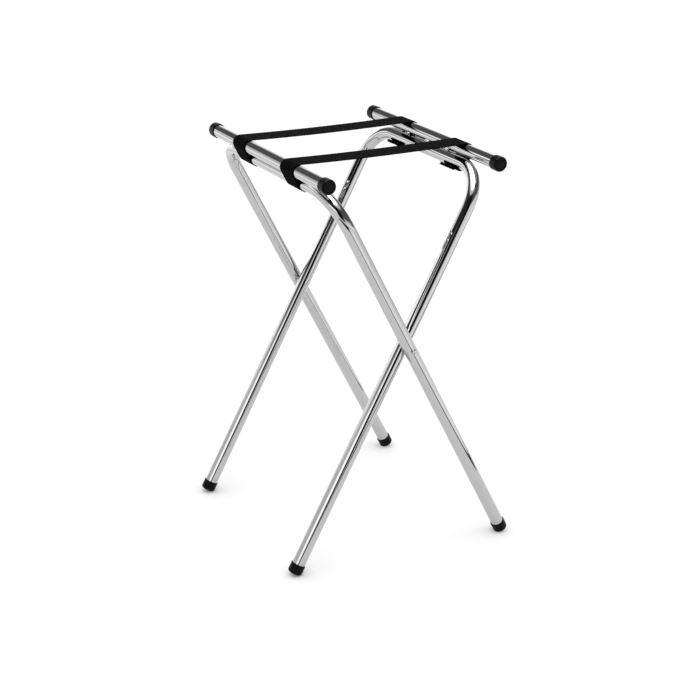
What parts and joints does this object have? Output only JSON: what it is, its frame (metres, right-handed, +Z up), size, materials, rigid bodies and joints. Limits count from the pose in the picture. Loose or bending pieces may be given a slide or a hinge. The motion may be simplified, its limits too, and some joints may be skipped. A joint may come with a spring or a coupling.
{
  "type": "folding tray stand",
  "caption": "Folding stand of two crossed chrome tube frames whose top rails carry webbing straps, so a tray or a case can rest on it.",
  "frame": {"origin": "on the floor, midway between the four feet", "axes": "+Z up, +Y along the rails, +X from the outer frame's rail to the inner frame's rail"},
  "size_m": [0.4812, 0.496, 0.7893],
  "materials": {
    "chrome": "bright chrome plate on steel tube",
    "rivet_steel": "nickel-plated rivet",
    "black_vinyl": "moulded black vinyl, semi-gloss",
    "white_nylon": "natural nylon washer",
    "black_webbing": "woven black polypropylene webbing"
  },
  "bodies": {
    "outer_frame": {"outer_frame_tube": "chrome", "outer_rail": "chrome", "outer_rail_weld_1": "chrome", "outer_rail_weld_2": "chrome", "outer_rail_weld_3": "chrome", "outer_rail_cap_front": "black_vinyl", "outer_rail_cap_rear": "black_vinyl", "outer_foot_cap_front": "black_vinyl", "outer_foot_cap_rear": "black_vinyl", "front_strap_wrap_outer": "black_webbing", "rear_strap_wrap_outer": "black_webbing", "front_strap_rivet_outer": "rivet_steel", "rear_strap_rivet_outer": "rivet_steel", "pivot_rivet_front": "rivet_steel", "pivot_spacer_front": "white_nylon", "pivot_rivet_rear": "rivet_steel", "pivot_spacer_rear": "white_nylon"},
    "inner_frame": {"inner_frame_tube": "chrome", "inner_rail": "chrome", "inner_rail_weld_1": "chrome", "inner_rail_weld_2": "chrome", "inner_rail_weld_3": "chrome", "inner_rail_cap_front": "black_vinyl", "inner_rail_cap_rear": "black_vinyl", "inner_foot_cap_front": "black_vinyl", "inner_foot_cap_rear": "black_vinyl", "front_strap_wrap_inner": "black_webbing", "rear_strap_wrap_inner": "black_webbing", "front_strap_rivet_inner": "rivet_steel", "rear_strap_rivet_inner": "rivet_steel"},
    "front_strap_outer": {"front_strap_half_outer": "black_webbing"},
    "front_strap_inner": {"front_strap_half_inner": "black_webbing"},
    "rear_strap_outer": {"rear_strap_half_outer": "black_webbing"},
    "rear_strap_inner": {"rear_strap_half_inner": "black_webbing"}
  },
  "joints": [
    {"name": "fold", "type": "hinge", "parent": "outer_frame", "child": "inner_frame", "pos_m": [0, 0, 0.4356], "axis": [0, -1, 0], "range_deg": [0, 50.4]},
    {"name": "front_strap_slack_outer", "type": "hinge", "parent": "outer_frame", "child": "front_strap_outer", "pos_m": [-0.1803, 0, 0.7747], "axis": [0, 1, 0], "range_deg": [0, 63.6], "deforming": ["front_strap_half_outer"]},
    {"name": "front_strap_slack_inner", "type": "hinge", "parent": "inner_frame", "child": "front_strap_inner", "pos_m": [0.1803, 0, 0.7747], "axis": [0, -1, 0], "range_deg": [0, 63.6], "deforming": ["front_strap_half_inner"]},
    {"name": "rear_strap_slack_outer", "type": "hinge", "parent": "outer_frame", "child": "rear_strap_outer", "pos_m": [-0.1803, 0, 0.7747], "axis": [0, 1, 0], "range_deg": [0, 63.6], "deforming": ["rear_strap_half_outer"]},
    {"name": "rear_strap_slack_inner", "type": "hinge", "parent": "inner_frame", "child": "rear_strap_inner", "pos_m": [0.1803, 0, 0.7747], "axis": [0, -1, 0], "range_deg": [0, 63.6], "deforming": ["rear_strap_half_inner"]}
  ],
  "couplings": [
    {"joint": "front_strap_slack_outer", "follows": "fold", "ratio": 1.26},
    {"joint": "front_strap_slack_inner", "follows": "fold", "ratio": 1.26},
    {"joint": "rear_strap_slack_outer", "follows": "fold", "ratio": 1.26},
    {"joint": "rear_strap_slack_inner", "follows": "fold", "ratio": 1.26}
  ]
}
